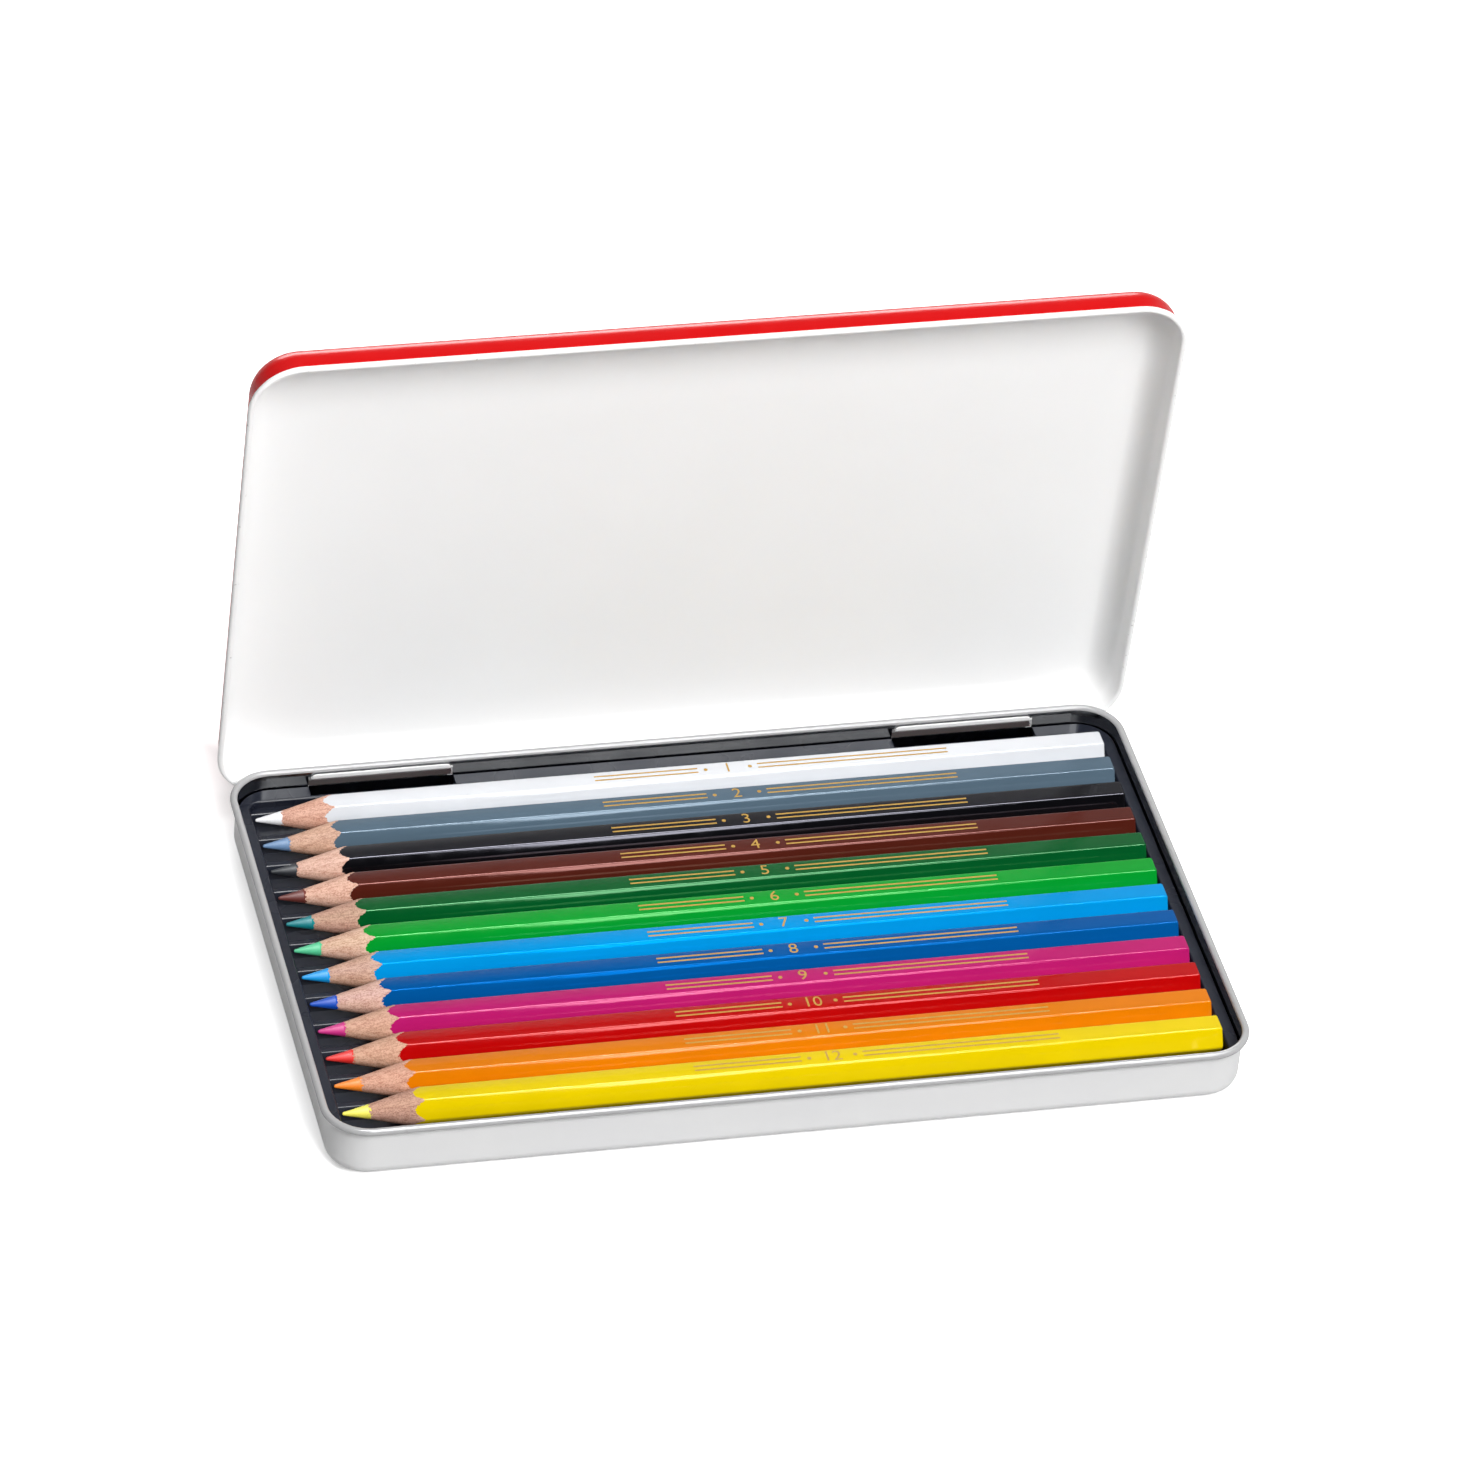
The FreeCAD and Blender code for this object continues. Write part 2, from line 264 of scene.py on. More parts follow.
# Lacquer of each pencil, colour of its core and kind of cedar
PENCIL_COLOURS = {
    "white": ((216, 218, 222), (236, 237, 239), "red"),
    "blue_grey": ((80, 99, 114), (104, 138, 178), "straw"),
    "black": ((9, 9, 12), (36, 40, 46), "pink"),
    "brown": ((76, 27, 18), (104, 46, 40), "pink"),
    "dark_green": ((2, 80, 34), (0, 126, 134), "brown"),
    "light_green": ((3, 146, 42), (80, 196, 144), "pink"),
    "light_blue": ((2, 141, 208), (6, 156, 230), "straw"),
    "dark_blue": ((2, 80, 147), (0, 76, 188), "pink"),
    "magenta": ((176, 24, 102), (204, 44, 132), "straw"),
    "red": ((174, 5, 6), (228, 44, 40), "straw"),
    "orange": ((214, 118, 2), (248, 136, 32), "red"),
    "yellow": ((223, 195, 1), (244, 236, 92), "brown"),
}

# Studio: lamps by their place, what they face, size in metres and watts
LAMPS = {
    "key": ((0.45, -1.5, 1.75), (0, 0, 0.03), (0.9, 1.0), 58),
    "overhead": ((0.1, -0.15, 1.6), (0, 0, 0), (0.9, 0.4), 7),
    "rear": ((0.1, 1.9, 0.6), (0, 0.06, 0.06), (1.2, 0.6), 25),
}
GLINT = ((0.42, -0.15, 1.6), (0.42, 0, 0), (1.3, 0.3), 62)

# Background: dim fill, the white that mirrors see, and a dark flag before the pencils
FILL_STRENGTH = 0.12
MIRRORED_WHITE = 0.75
FLAG_DIRECTION = (0.22, -0.91, 0.35)
FLAG_CLEAR = math.cos(math.radians(62))
FLAG_DARK = math.cos(math.radians(36))
FLAG_STRENGTH = 0.02

# Floor: its glow as seen and as mirrored, its tones, and a shadow painted dark under and behind the tin
FLOOR_GLOW = 0.72
FLOOR_MIRRORED_GLOW = 0.25
FLOOR_SEEN = (0.9, 0.9, 0.9, 1)
FLOOR_BOUNCE = (0.5, 0.5, 0.5, 1)
# Tone of the shadow painted under and behind the tin
FLOOR_SHADOW_TONE = (0.1, 0.1, 0.1, 1)
FLOOR_DROP = 0.02 * MM
FLOOR_HALF = 6.0
FLOOR_ROUGHNESS = 0.9
# Box of the painted shadow: its middle, half widths and soft edge
FLOOR_SHADOW_MIDDLE = (0, 14 * MM, 0)
FLOOR_SHADOW_HALF_X = 80 * MM
FLOOR_SHADOW_HALF_Y = 56 * MM
FLOOR_SHADOW_EDGE = 14 * MM

# Photograph's camera, fitted to the tin's rims and the pencils
CAMERA_PLACE = (-0.396908, -1.332353, 1.138447)
CAMERA_TURN = (52.19838, -4.32353, -12.87749)
CAMERA_LENS = 220.849
CAMERA_SENSOR = 36.0
CAMERA_FAR = 100
CAMERA_SHIFT = (0.017915, -0.026526)


def joint(name):
    """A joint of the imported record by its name."""
    return next(entry for entry in frame["joints"] if entry["name"] == name)


def linear(colour):
    """Colour of 0 to 255 as a shader takes it."""
    values = []
    for value in colour:
        share = value / FULL_TONE
        if share < CURVE_FOOT:
            values.append(share / CURVE_FOOT_SLOPE)
        else:
            values.append(((share + CURVE_OFFSET) / (1 + CURVE_OFFSET)) ** CURVE_POWER)
    return (*values, 1.0)


# Nodes of the finishes
def node(tree, kind, inputs=None, **settings):
    """New shader node with its settings, and its inputs set or linked."""
    made = tree.nodes.new("ShaderNode" + kind)
    for name, value in settings.items():
        setattr(made, name, value)
    for name, value in (inputs or {}).items():
        put(tree, made.inputs[name], value)
    return made


def put(tree, socket, value):
    """Link a socket to another, or set its value."""
    if isinstance(value, bpy.types.NodeSocket):
        tree.links.new(value, socket)
    else:
        socket.default_value = value


def surface_place(tree, stretch=(1, 1, 1), centre=(0, 0, 0)):
    """Object coordinates, moved to a centre and stretched."""
    coordinates = node(tree, "TexCoord")
    from_origin = coordinates.outputs["Object"]
    moved = node(tree, "VectorMath", {0: from_origin, 1: centre}, operation="SUBTRACT")
    return node(tree, "VectorMath", {0: moved.outputs[0], 1: stretch}, operation="MULTIPLY").outputs[0]


def speckle(tree, size, stretch=(1, 1, 1), detail=3.0):
    """Noise whose spots are about the given size."""
    place = surface_place(tree, stretch)
    return node(tree, "TexNoise", {"Vector": place, "Scale": 1 / size, "Detail": detail}).outputs["Fac"]


def between(tree, value, low, high, first, last):
    """Value carried from one range to another, and held inside it."""
    return node(tree, "MapRange", {"Value": value, "From Min": low, "From Max": high,
                                   "To Min": first, "To Max": last}).outputs[0]


def maths(tree, operation, first, second):
    """Result of an operation on two values."""
    return node(tree, "Math", {0: first, 1: second}, operation=operation).outputs[0]


def mixed(tree, share, first, second):
    """Two colours mixed by a share. The node has sockets of one name for each kind of data."""
    mix = node(tree, "Mix", data_type="RGBA")
    factor, colour_a, colour_b = mix.inputs[0], mix.inputs[6], mix.inputs[7]
    put(tree, factor, share)
    put(tree, colour_a, first)
    put(tree, colour_b, second)
    mixed_colour = mix.outputs[2]
    return mixed_colour


def relief(tree, height, depth, under=None):
    """Bump of a given depth, on top of another if there is one."""
    bump = node(tree, "Bump", {"Height": height, "Distance": depth, "Strength": 1.0})
    if under is not None:
        tree.links.new(under, bump.inputs["Normal"])
    return bump.outputs["Normal"]


def finish_of(name):
    """New material with its tree and its main shader."""
    material = bpy.data.materials.new(name)
    material.use_nodes = True
    tree = material.node_tree
    return material, tree, tree.nodes["Principled BSDF"]


def lacquered_tin(name, colour, shade, roughness, shine):
    """Stoved lacquer on sheet: faint clouding, orange peel and scuffs along the rolled edge."""
    material, tree, shader = finish_of(name)
    clouds = between(tree, speckle(tree, TIN_CLOUD_SIZE), *EVEN_SPAN, 0, 1)
    paint = mixed(tree, clouds, linear(colour), linear(shade))
    edge = node(tree, "Attribute", attribute_name=ROLLED_EDGE).outputs["Fac"]
    chips = between(tree, speckle(tree, CHIP_SIZE, detail=5.0), *CHIP_SPAN, 0, CHIP_STRENGTH)
    shader.inputs["Specular IOR Level"].default_value = shine
    shader.inputs["Specular Tint"].default_value = gloss_tint(linear(colour), TIN_OWN_SHINE)
    worn = maths(tree, "MULTIPLY", edge, chips)
    put(tree, shader.inputs["Base Color"], mixed(tree, worn, paint, linear(CHIPPED_TIN)))
    handling = speckle(tree, TIN_HANDLING_SIZE, detail=6.0)
    dulled = roughness + TIN_HANDLING_DULLS
    put(tree, shader.inputs["Roughness"], between(tree, handling, *HANDLED_SPAN, roughness, dulled))
    peel = relief(tree, speckle(tree, TIN_PEEL_SIZE, detail=1.0), TIN_PEEL_DEPTH)
    put(tree, shader.inputs["Normal"], relief(tree, worn, -CHIP_DEPTH, peel))
    return material


def bare_tinplate():
    """Tinned sheet with fine rolling lines, inside the tray and on the lid's tongues."""
    material, tree, shader = finish_of("bare_tinplate")
    lines = speckle(tree, TINPLATE_LINE_SIZE, TINPLATE_LINE_STRETCH)
    light = between(tree, lines, *EVEN_SPAN, 0, 1)
    tone = mixed(tree, light, linear(TINPLATE_DARK), linear(TINPLATE_LIGHT))
    put(tree, shader.inputs["Base Color"], tone)
    shader.inputs["Metallic"].default_value = 1.0
    dull = between(tree, speckle(tree, TINPLATE_DULL_SIZE), *EVEN_SPAN, *TINPLATE_ROUGHNESS)
    put(tree, shader.inputs["Roughness"], dull)
    put(tree, shader.inputs["Normal"], relief(tree, lines, TINPLATE_LINE_DEPTH))
    return material


def moulded_plastic():
    """Black moulded inlay with a fine satin grain and dull rubbed patches."""
    material, tree, shader = finish_of("moulded_plastic")
    rubbed = between(tree, speckle(tree, PLASTIC_RUBBED_SIZE, detail=2.0), *RUBBED_SPAN, 0, 1)
    tone = mixed(tree, rubbed, linear(PLASTIC_DARK), linear(PLASTIC_RUBBED))
    put(tree, shader.inputs["Base Color"], tone)
    shader.inputs["Specular IOR Level"].default_value = PLASTIC_SHINE
    put(tree, shader.inputs["Roughness"], between(tree, rubbed, 0, 1, *PLASTIC_ROUGHNESS))
    grain = speckle(tree, PLASTIC_GRAIN_SIZE, detail=2.0)
    put(tree, shader.inputs["Normal"], relief(tree, grain, PLASTIC_GRAIN_DEPTH))
    return material


def gloss_tint(lacquer, own_share):
    """Colour of a lacquer's shine: white, with a share of its own hue."""
    strongest = max(lacquer[:3])
    return (*[1 - own_share * (1 - value / strongest) for value in lacquer[:3]], 1.0)


def coat_and_reach(tree, apex):
    """Share of lacquer left by the sharpener's cone, and the distance from the pencil's axis."""
    apart = node(tree, "SeparateXYZ", {"Vector": surface_place(tree, centre=apex)})
    square_y = maths(tree, "MULTIPLY", apart.outputs["Y"], apart.outputs["Y"])
    square_z = maths(tree, "MULTIPLY", apart.outputs["Z"], apart.outputs["Z"])
    reach = maths(tree, "POWER", maths(tree, "ADD", square_y, square_z), SQUARE_ROOT)
    cone = maths(tree, "MULTIPLY", apart.outputs["X"], CUT_SLOPE)
    under_coat = maths(tree, "SUBTRACT", cone, reach)
    ragged = between(tree, speckle(tree, RAGGED_SIZE, detail=6.0), *RAGGED_SPAN, *RAGGED_REACH)
    coated = between(tree, maths(tree, "SUBTRACT", under_coat, ragged), 0, LACQUER_EDGE, 0, 1)
    return coated, reach


def cut_wood(tree, cedar, pigment, fibres, reach):
    """Colour of the cedar where it is cut, smudged with pigment round the core."""
    grit = between(tree, speckle(tree, GRIT_SIZE, GRIT_STRETCH), *GRIT_SPAN, -GRIT_SHARE, GRIT_SHARE)
    cedar_face, cedar_line = [linear(tone) for tone in CEDAR[cedar]]
    dark_share = maths(tree, "ADD", between(tree, fibres, *FIBRE_SPAN, 0, FIBRE_SHARE), grit)
    wood = mixed(tree, dark_share, cedar_face, cedar_line)
    smudge = between(tree, speckle(tree, SMUDGE_SIZE, detail=4.0), *SMUDGE_SPAN, 0, SMUDGE_REACH)
    off_core = maths(tree, "SUBTRACT", reach, maths(tree, "ADD", smudge, CORE_RADIUS))
    return mixed(tree, between(tree, off_core, 0, SMUDGE_EDGE, 1, 0), wood, linear(pigment))


def pencil_casing(colour_name, apex):
    """Lacquered wood: colour coats on the flats, bare grain wherever the sharpener has cut."""
    material, tree, shader = finish_of("casing_" + colour_name)
    coat_colour, pigment, cedar = PENCIL_COLOURS[colour_name]
    lacquer = linear(coat_colour)
    coated, reach = coat_and_reach(tree, apex)
    fibres = speckle(tree, FIBRE_SIZE, FIBRE_STRETCH, detail=6.0)
    wood = cut_wood(tree, cedar, pigment, fibres, reach)
    clouds = between(tree, speckle(tree, LACQUER_CLOUD_SIZE), *EVEN_SPAN, *LACQUER_CLOUD_TONE)
    coat = node(tree, "VectorMath", {0: lacquer[:3], "Scale": clouds}, operation="SCALE").outputs[0]
    put(tree, shader.inputs["Base Color"], mixed(tree, coated, wood, coat))

    handling = speckle(tree, LACQUER_HANDLING_SIZE, detail=6.0)
    handled = between(tree, handling, *RUBBED_SPAN, *LACQUER_ROUGHNESS)
    put(tree, shader.inputs["Roughness"], between(tree, coated, 0, 1, WOOD_ROUGHNESS, handled))
    shader.inputs["IOR"].default_value = LACQUER_IOR
    own_shine = LACQUER_OWN_SHINE.get(colour_name, LACQUER_USUAL_SHINE)
    shader.inputs["Specular Tint"].default_value = gloss_tint(lacquer, own_shine)
    bare = maths(tree, "SUBTRACT", 1.0, coated)
    grain = relief(tree, maths(tree, "MULTIPLY", fibres, bare), FIBRE_DEPTH)
    waves = relief(tree, speckle(tree, LACQUER_WAVE_SIZE), LACQUER_WAVE_DEPTH, grain)
    put(tree, shader.inputs["Normal"], waves)
    return material


def pencil_core(colour_name):
    """Waxy pigment core with fine turning marks left by the sharpener."""
    material, tree, shader = finish_of("core_" + colour_name)
    pigment = linear(PENCIL_COLOURS[colour_name][1])
    grains = between(tree, speckle(tree, CORE_GRAIN_SIZE, detail=4.0), *EVEN_SPAN, *CORE_GRAIN_TONE)
    tint = node(tree, "VectorMath", {0: pigment[:3], "Scale": grains}, operation="SCALE").outputs[0]
    put(tree, shader.inputs["Base Color"], tint)
    turning = speckle(tree, CORE_TURNING_SIZE, CORE_TURNING_STRETCH)
    put(tree, shader.inputs["Roughness"], between(tree, turning, *EVEN_SPAN, *CORE_ROUGHNESS))
    put(tree, shader.inputs["Normal"], relief(tree, turning, CORE_TURNING_DEPTH))
    return material


def gold_foil():
    """Stamped gold foil, slightly broken up."""
    material, tree, shader = finish_of("gold_foil")
    broken = between(tree, speckle(tree, FOIL_BROKEN_SIZE, detail=4.0), *EVEN_SPAN, 0, 1)
    tone = mixed(tree, broken, linear(FOIL_BRIGHT), linear(FOIL_BROKEN))
    put(tree, shader.inputs["Base Color"], tone)
    shader.inputs["Metallic"].default_value = 1.0
    put(tree, shader.inputs["Roughness"], between(tree, broken, 0, 1, *FOIL_ROUGHNESS))
    put(tree, shader.inputs["Normal"], relief(tree, broken, FOIL_BROKEN_DEPTH))
    return material


# Mesh tools
def edges_of(geometry):
    """Edges among the results of an operator."""
    return [item for item in geometry if isinstance(item, bmesh.types.BMEdge)]


def verts_of(geometry):
    """Vertices among the results of an operator."""
    return [item for item in geometry if isinstance(item, bmesh.types.BMVert)]


def once(items):
    """Each item once, in the order given."""
    return list(dict.fromkeys(items))


def verts_of_edges(edges):
    """Each vertex of some edges, once."""
    return once(vert for edge in edges for vert in edge.verts)


def pulled(bm, edges, move):
    """Pull a line of edges out into a strip, and return its far edges."""
    drawn = bmesh.ops.extrude_edge_only(bm, edges=edges)["geom"]
    bmesh.ops.translate(bm, verts=verts_of(drawn), vec=move)
    return edges_of(drawn)


def turned(bm, edges, centre, axis, angle, steps):
    """Turn a line of edges round an axis into a bend, and return its far edges."""
    last = bmesh.ops.spin(bm, geom=verts_of_edges(edges) + edges, cent=centre, axis=axis, angle=angle,
                          steps=steps)
    return edges_of(last["geom_last"])


def drawn_line(bm, vert, move):
    """Draw a profile on from its last vertex by a straight run."""
    drawn = bmesh.ops.extrude_vert_indiv(bm, verts=[vert])["verts"]
    bmesh.ops.translate(bm, verts=drawn, vec=move)
    return drawn[0]


def drawn_bend(bm, vert, centre, angle, steps):
    """Draw a profile on from its last vertex by a bend about X."""
    for _ in range(steps):
        drawn = bmesh.ops.extrude_vert_indiv(bm, verts=[vert])["verts"]
        bmesh.ops.rotate(bm, verts=drawn, cent=centre, matrix=Matrix.Rotation(angle / steps, 3, "X"))
        vert = drawn[0]
    return vert


def carried_round(bm, half_x, half_y, corner):
    """Carry a profile from the start of the front side round a rounded rectangle, and close it."""
    straight_x = half_x - corner
    straight_y = half_y - corner
    edges = bm.edges[:]
    sides = ((2 * straight_x, 0, 1, -1), (0, 2 * straight_y, 1, 1),
             (-2 * straight_x, 0, -1, 1), (0, -2 * straight_y, -1, -1))
    for run_x, run_y, side_x, side_y in sides:
        edges = pulled(bm, edges, (run_x, run_y, 0))
        centre = (side_x * straight_x, side_y * straight_y, 0)
        edges = turned(bm, edges, centre, (0, 0, 1), math.pi / 2, CORNER_STEPS)
    bmesh.ops.remove_doubles(bm, verts=bm.verts, dist=MERGE_NEAR)


def open_edges_at(bm, height):
    """Edges of an open shell that lie at a height."""
    return [edge for edge in bm.edges
            if edge.is_boundary and all(abs(vert.co.z - height) < MERGE_NEAR for vert in edge.verts)]


def sliced(bm, faces, place, direction):
    """Cut faces by a plane, and return them with the new ones."""
    geometry = faces + once(edge for face in faces for edge in face.edges)
    geometry += once(vert for face in faces for vert in face.verts)
    cut = bmesh.ops.bisect_plane(bm, geom=geometry, dist=CUT_NEAR, plane_co=place, plane_no=direction)
    return [item for item in cut["geom"] if isinstance(item, bmesh.types.BMFace)]


def thickened(bm, outside_down):
    """Face a shell outwards and give it the sheet's thickness inwards; return the inner faces."""
    bmesh.ops.recalc_face_normals(bm, faces=bm.faces)
    widest = max(bm.faces, key=lambda face: face.calc_area())
    if (widest.normal.z < 0) != outside_down:
        bmesh.ops.reverse_faces(bm, faces=bm.faces)
    outer = set(bm.faces)
    bmesh.ops.solidify(bm, geom=bm.faces[:], thickness=SHEET)
    return [face for face in bm.faces if face not in outer]


def finished_piece(bm, name, materials, smooth_angle):
    """Object made from a bmesh, shaded smooth up to an angle."""
    mesh = bpy.data.meshes.new(name)
    bm.to_mesh(mesh)
    bm.free()
    for material in materials:
        mesh.materials.append(material)
    mesh.shade_smooth()
    mesh.set_sharp_from_angle(angle=math.radians(smooth_angle))
    piece = bpy.data.objects.new(name, mesh)
    bpy.context.scene.collection.objects.link(piece)
    return piece


def stand_in(piece, body, node_name):
    """Let a piece move with a body in place of a solid."""
    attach(piece, body)
    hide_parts(node_name)


# Tin tray
def tray_profile(bm, half_x, half_y):
    """Outer line of the tray at the start of its front side, from the floor up to the curl."""
    start_x = -(half_x - TRAY_CORNER)
    vert = bm.verts.new((start_x, -half_y + TRAY_FLOOR_BEND, 0))
    bend = (start_x, -half_y + TRAY_FLOOR_BEND, TRAY_FLOOR_BEND)
    vert = drawn_bend(bm, vert, bend, -math.pi / 2, BEND_STEPS)
    vert = drawn_line(bm, vert, (0, 0, TRAY_RIM_Z - TRAY_FLOOR_BEND))
    first_curl = len(bm.verts)
    roll = TRAY_CURL - SHEET
    drawn_bend(bm, vert, (start_x, -half_y - roll, TRAY_RIM_Z), CURL_SWEEP, CURL_STEPS)
    mark_rolled(bm, first_curl)


def mark_rolled(bm, first):
    """Mark the vertices of a curl, where the lacquer wears first."""
    layer = bm.verts.layers.float.new(ROLLED_EDGE)
    bm.verts.ensure_lookup_table()
    for vert in bm.verts[first:]:
        vert[layer] = 1.0


def on_curl(bm, face):
    """Whether a face belongs to a curl."""
    layer = bm.verts.layers.float[ROLLED_EDGE]
    return any(vert[layer] > 0 for vert in face.verts)


def make_tray(lacquer, tinplate, shaded_bead_lacquer):
    """Tray drawn as a shell, with its hinge windows, and given the sheet's thickness."""
    low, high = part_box("base_tray")
    reach = 2 * TRAY_CURL - SHEET
    half_x = high.x - reach
    half_y = -low.y - reach
    bm = bmesh.new()
    tray_profile(bm, half_x, half_y)
    carried_round(bm, half_x, half_y, TRAY_CORNER)
    bmesh.ops.edgeloop_fill(bm, edges=open_edges_at(bm, 0))
    cut_windows(bm, half_y)
    # The curl's inner faces take the darkened bead lacquer, painted shade; the rest of the inside is bare
    # tinplate
    for face in thickened(bm, True):
        face.material_index = TRAY_BEAD if on_curl(bm, face) else TRAY_INSIDE
    tray = finished_piece(bm, "tray_shell", (lacquer, tinplate, shaded_bead_lacquer), SHEET_SMOOTH)
    stand_in(tray, "tray", "base_tray")


def wall_faces(bm, y, low, high):
    """Faces of a straight wall across the tin between two heights."""
    faces = []
    for face in bm.faces:
        on_wall = all(abs(vert.co.y - y) < WALL_NEAR for vert in face.verts)
        if on_wall and all(low - WALL_NEAR < vert.co.z < high + WALL_NEAR for vert in face.verts):
            faces.append(face)
    return faces


def cut_windows(bm, half_y):
    """Cut the two windows for the lid's tongues into the rear wall."""
    faces = wall_faces(bm, half_y, TRAY_FLOOR_BEND, TRAY_RIM_Z)
    for height in (WINDOW_LOW, WINDOW_HIGH):
        faces = sliced(bm, faces, (0, 0, height), (0, 0, 1))
    for middle in (-HINGE_MIDDLE, HINGE_MIDDLE):
        for side in (-WINDOW_HALF, WINDOW_HALF):
            faces = sliced(bm, faces, (middle + side, 0, 0), (1, 0, 0))
    cut_out = []
    for face in faces:
        centre = face.calc_center_median()
        if WINDOW_LOW < centre.z < WINDOW_HIGH and abs(abs(centre.x) - HINGE_MIDDLE) < WINDOW_HALF:
            cut_out.append(face)
    bmesh.ops.delete(bm, geom=cut_out, context="FACES")


# Tin lid
def lid_profile(bm, half_x, half_y, rim_z, corner):
    """Outer line of the closed lid at the start of its front side, from the plate down to the curl."""
    start_x = -(half_x - corner)
    bend_z = rim_z + LID_DEPTH - LID_EDGE_BEND
    vert = bm.verts.new((start_x, -half_y + LID_EDGE_BEND, rim_z + LID_DEPTH))
    vert = drawn_bend(bm, vert, (start_x, -half_y + LID_EDGE_BEND, bend_z), math.pi / 2, BEND_STEPS)
    vert = drawn_line(bm, vert, (0, 0, rim_z - bend_z))
    first_curl = len(bm.verts)
    roll = LID_CURL - SHEET
    drawn_bend(bm, vert, (start_x, -half_y - roll, rim_z), -CURL_SWEEP, CURL_STEPS)
    mark_rolled(bm, first_curl)


def make_lid(outside, inside, tinplate):
    """Lid made closed, with its tongues, and turned open about the hinge."""
    hinge = joint("lid_hinge")
    pivot = Vector(hinge["pos_m"])
    low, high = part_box("base_tray")
    half_x = high.x - (2 * TRAY_CURL - SHEET) + LID_REACH
    half_y = -low.y - (2 * TRAY_CURL - SHEET) + LID_REACH
    corner = TRAY_CORNER + LID_REACH
    bm = bmesh.new()
    lid_profile(bm, half_x, half_y, pivot.z, corner)
    carried_round(bm, half_x, half_y, corner)
    bmesh.ops.edgeloop_fill(bm, edges=open_edges_at(bm, pivot.z + LID_DEPTH))
    press_thumb_rest(bm, half_y, pivot.z)
    cut_curl(bm, half_y, pivot.z + TONGUE_RISE + TONGUE_BEND)
    for middle in (-HINGE_MIDDLE, HINGE_MIDDLE):
        turn_tongue(bm, half_y, pivot, middle)
    for face in thickened(bm, False):
        face.material_index = LID_INSIDE
    bare_from = pivot.z + TONGUE_RISE - TONGUE_BEND
    for face in tongue_faces(bm, half_y, pivot.z):
        face.material_index = LID_BARE if face.calc_center_median().z > bare_from else LID_INSIDE
    open_angle = math.radians(min(hinge["range_deg"]))
    bmesh.ops.rotate(bm, verts=bm.verts, cent=pivot, matrix=Matrix.Rotation(open_angle, 3, "X"))
    lid = finished_piece(bm, "lid_shell", (outside, inside, tinplate), SHEET_SMOOTH)
    stand_in(lid, "lid", "lid")


def press_thumb_rest(bm, half_y, rim_z):
    """Press a shallow rest with rounded corners into the middle of the front wall."""
    low = rim_z + THUMB_LOW
    high = rim_z + THUMB_HIGH
    faces = wall_faces(bm, -half_y, rim_z, high)
    faces = sliced(bm, faces, (0, 0, low), (0, 0, 1))
    for side in (-THUMB_HALF, THUMB_HALF):
        faces = sliced(bm, faces, (side, 0, 0), (1, 0, 0))
    rest = [face for face in faces
            if face.calc_center_median().z > low and abs(face.calc_center_median().x) < THUMB_HALF]
    bmesh.ops.inset_region(bm, faces=rest, thickness=THUMB_SLOPE)
    corners = once(vert for face in rest for vert in face.verts)
    rounded = bmesh.ops.bevel(bm, geom=corners, affect="VERTICES", offset=THUMB_ROUND,
                              segments=THUMB_ROUND_STEPS, profile=0.5, material=-1)
    pressed = max(rounded["faces"] + rest, key=lambda face: len(face.verts) if face.is_valid else 0)
    bmesh.ops.translate(bm, verts=list(pressed.verts), vec=(0, THUMB_DEPTH, 0))


def cut_curl(bm, half_y, wall_end):
    """Cut the curl and the wall's edge away at the hinge places."""
    top_z = wall_end + LID_DEPTH
    faces = [face for face in bm.faces
             if all(vert.co.y > half_y - MERGE_NEAR and vert.co.z < top_z for vert in face.verts)]
    faces = sliced(bm, faces, (0, 0, wall_end), (0, 0, 1))
    for middle in (-HINGE_MIDDLE, HINGE_MIDDLE):
        for side in (-TONGUE_GAP_HALF, -TONGUE_HALF, TONGUE_HALF, TONGUE_GAP_HALF):
            faces = sliced(bm, faces, (middle + side, 0, 0), (1, 0, 0))
    gap = [face for face in faces
           if face.calc_center_median().z < wall_end
           and abs(abs(face.calc_center_median().x) - HINGE_MIDDLE) < TONGUE_GAP_HALF]
    bmesh.ops.delete(bm, geom=gap, context="FACES")


def bent_tongue(bm, edges, y, z, angle):
    """Bend a tongue on from its end about a line along X, and return its far edges."""
    return turned(bm, edges, (0, y, z), (1, 0, 0), angle, TONGUE_BEND_STEPS)


def turn_tongue(bm, half_y, pivot, middle):
    """Turn the wall inwards at a hinge place as a tongue that steps down to a rounded lip."""
    run_z = pivot.z + TONGUE_RISE
    wall_end = run_z + TONGUE_BEND
    wall_bend_y = half_y - SHEET / 2 - TONGUE_BEND
    hanging_y = pivot.y - TONGUE_INSET
    lip_z = pivot.z - TONGUE_DROP
    root = [edge for edge in open_edges_at(bm, wall_end)
            if all(abs(vert.co.x - middle) < TONGUE_HALF + MERGE_NEAR for vert in edge.verts)]
    edges = bent_tongue(bm, root, wall_bend_y, wall_end, -math.pi / 2)
    edges = pulled(bm, edges, (0, hanging_y + TONGUE_BEND - wall_bend_y, 0))
    edges = bent_tongue(bm, edges, hanging_y + TONGUE_BEND, run_z - TONGUE_BEND, math.pi / 2)
    edges = pulled(bm, edges, (0, 0, lip_z + 2 * TONGUE_BEND - run_z))
    edges = bent_tongue(bm, edges, hanging_y - TONGUE_BEND, lip_z + TONGUE_BEND, -math.pi / 2)
    edges = pulled(bm, edges, (0, TONGUE_BEND - LIP_HEIGHT, 0))
    corners = [vert for vert in verts_of_edges(edges)
               if abs(vert.co.x - middle) > TONGUE_HALF - MERGE_NEAR]
    bmesh.ops.bevel(bm, geom=corners, affect="VERTICES", offset=LIP_ROUND, segments=LIP_ROUND_STEPS,
                    profile=0.5, material=-1)


